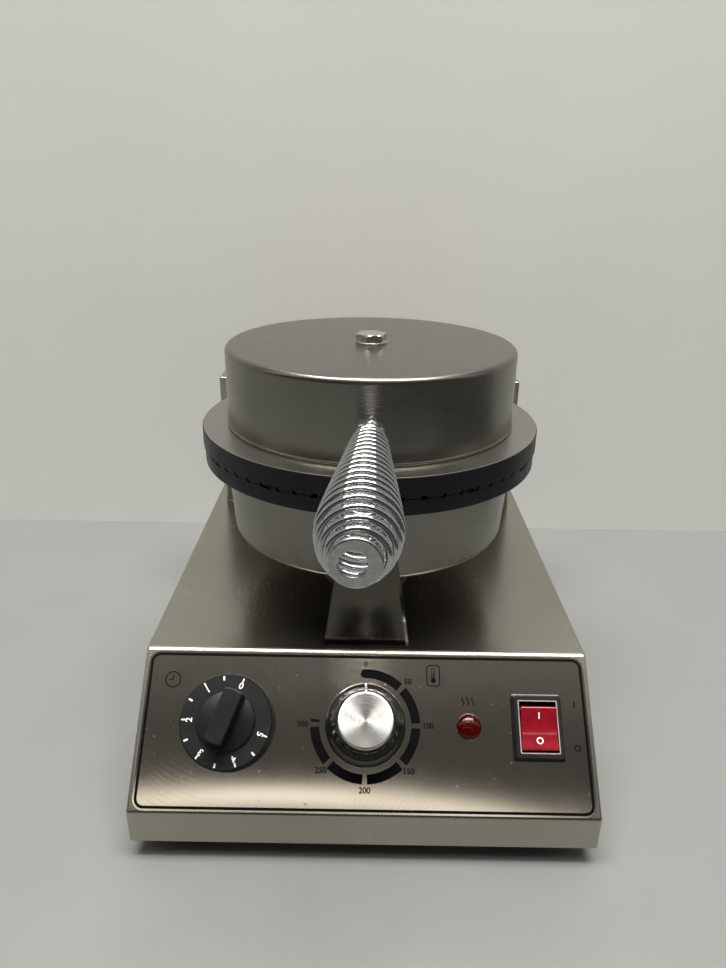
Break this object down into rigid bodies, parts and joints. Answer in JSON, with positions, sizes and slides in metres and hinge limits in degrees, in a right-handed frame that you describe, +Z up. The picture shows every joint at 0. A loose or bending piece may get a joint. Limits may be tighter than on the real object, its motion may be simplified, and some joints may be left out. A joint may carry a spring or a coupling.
{
  "type": "waffle cone maker",
  "caption": "Countertop waffle cone maker: sheet steel base with a sloping control panel, round baking plates and a hinged lid with a coil handle.",
  "frame": {"origin": "on the supporting surface, under the middle of the overall box (feet at z = 0)", "axes": "+X to the right of a user at the front, +Y to the rear, away from the handle, +Z up"},
  "size_m": [0.2428, 0.3992, 0.2424],
  "materials": {
    "stainless": "brushed satin, slightly warm",
    "overlay": "fine brushed",
    "plate_black": "satin black",
    "chrome": "polished",
    "steel": "plain",
    "black_gloss": "gloss black",
    "black_matte": "satin black",
    "aluminium": "spun, radial grain",
    "rubber": "matte",
    "red_lens": "glossy, translucent red",
    "red_rocker": "glossy, translucent red",
    "pale_plastic": "plain moulded",
    "copper": "drawn copper",
    "brass": "plain",
    "insulation": "pressed mineral fibre"
  },
  "bodies": {
    "root": {"base_cover": "stainless", "bottom_plate": "steel", "rubber_feet": "rubber", "foot_screws": "steel", "case_screws": "steel", "control_overlay": "overlay", "timer_body": "pale_plastic", "thermostat_body": "pale_plastic", "capillary_tube": "copper", "sensor_bulb": "steel", "lamp_lens": "red_lens", "lamp_body": "pale_plastic", "switch_frame": "black_matte", "terminal_block": "pale_plastic", "terminal_screws": "brass", "gland_body": "black_matte", "gland_nut": "black_matte", "front_support": "stainless", "pan_pedestal": "stainless", "pedestal_screws": "steel", "lower_shell": "stainless", "lower_plate": "plate_black", "lower_element": "steel", "lower_clamp_plate": "steel", "lower_insulation": "insulation", "lower_centre_bolt": "steel", "hinge_tower": "stainless", "tower_screws": "steel", "left_hinge_bracket": "steel", "right_hinge_bracket": "steel", "bracket_screws": "steel", "hinge_pin": "steel", "pin_clips": "steel", "hinge_washers": "brass", "tower_grommet": "rubber"},
    "lid": {"left_hinge_arm": "steel", "right_hinge_arm": "steel", "arm_screws": "steel", "upper_shell": "stainless", "upper_plate": "plate_black", "upper_element": "steel", "upper_clamp_plate": "steel", "upper_insulation": "insulation", "centre_bolt": "steel", "bolt_washer": "steel", "lid_grommet": "rubber", "handle_stud": "chrome", "handle_nut": "chrome", "handle_inner_nut": "chrome", "handle_coil": "chrome", "handle_end_ring": "chrome"},
    "timer_dial": {"timer_shaft": "steel", "timer_knob": "black_matte"},
    "thermostat_dial": {"thermostat_shaft": "steel", "thermostat_knob": "black_gloss", "thermostat_cap": "aluminium"},
    "rocker": {"power_rocker": "red_rocker"}
  },
  "joints": [
    {"name": "lid_hinge", "type": "hinge", "parent": "root", "child": "lid", "pos_m": [0, 0.13963, 0.178], "axis": [-1, 0, 0], "range_deg": [0, 95]},
    {"name": "timer_turn", "type": "hinge", "parent": "root", "child": "timer_dial", "pos_m": [-0.072, -0.10072, 0.06008], "axis": [0, 0.6912, -0.7226], "range_deg": [0, 270]},
    {"name": "thermostat_turn", "type": "hinge", "parent": "root", "child": "thermostat_dial", "pos_m": [0, -0.10072, 0.06008], "axis": [0, 0.6912, -0.7226], "range_deg": [0, 270]},
    {"name": "rocker_tilt", "type": "hinge", "parent": "root", "child": "rocker", "pos_m": [0.0902, -0.09988, 0.05949], "axis": [-1, 0, 0], "range_deg": [0, 14]}
  ]
}
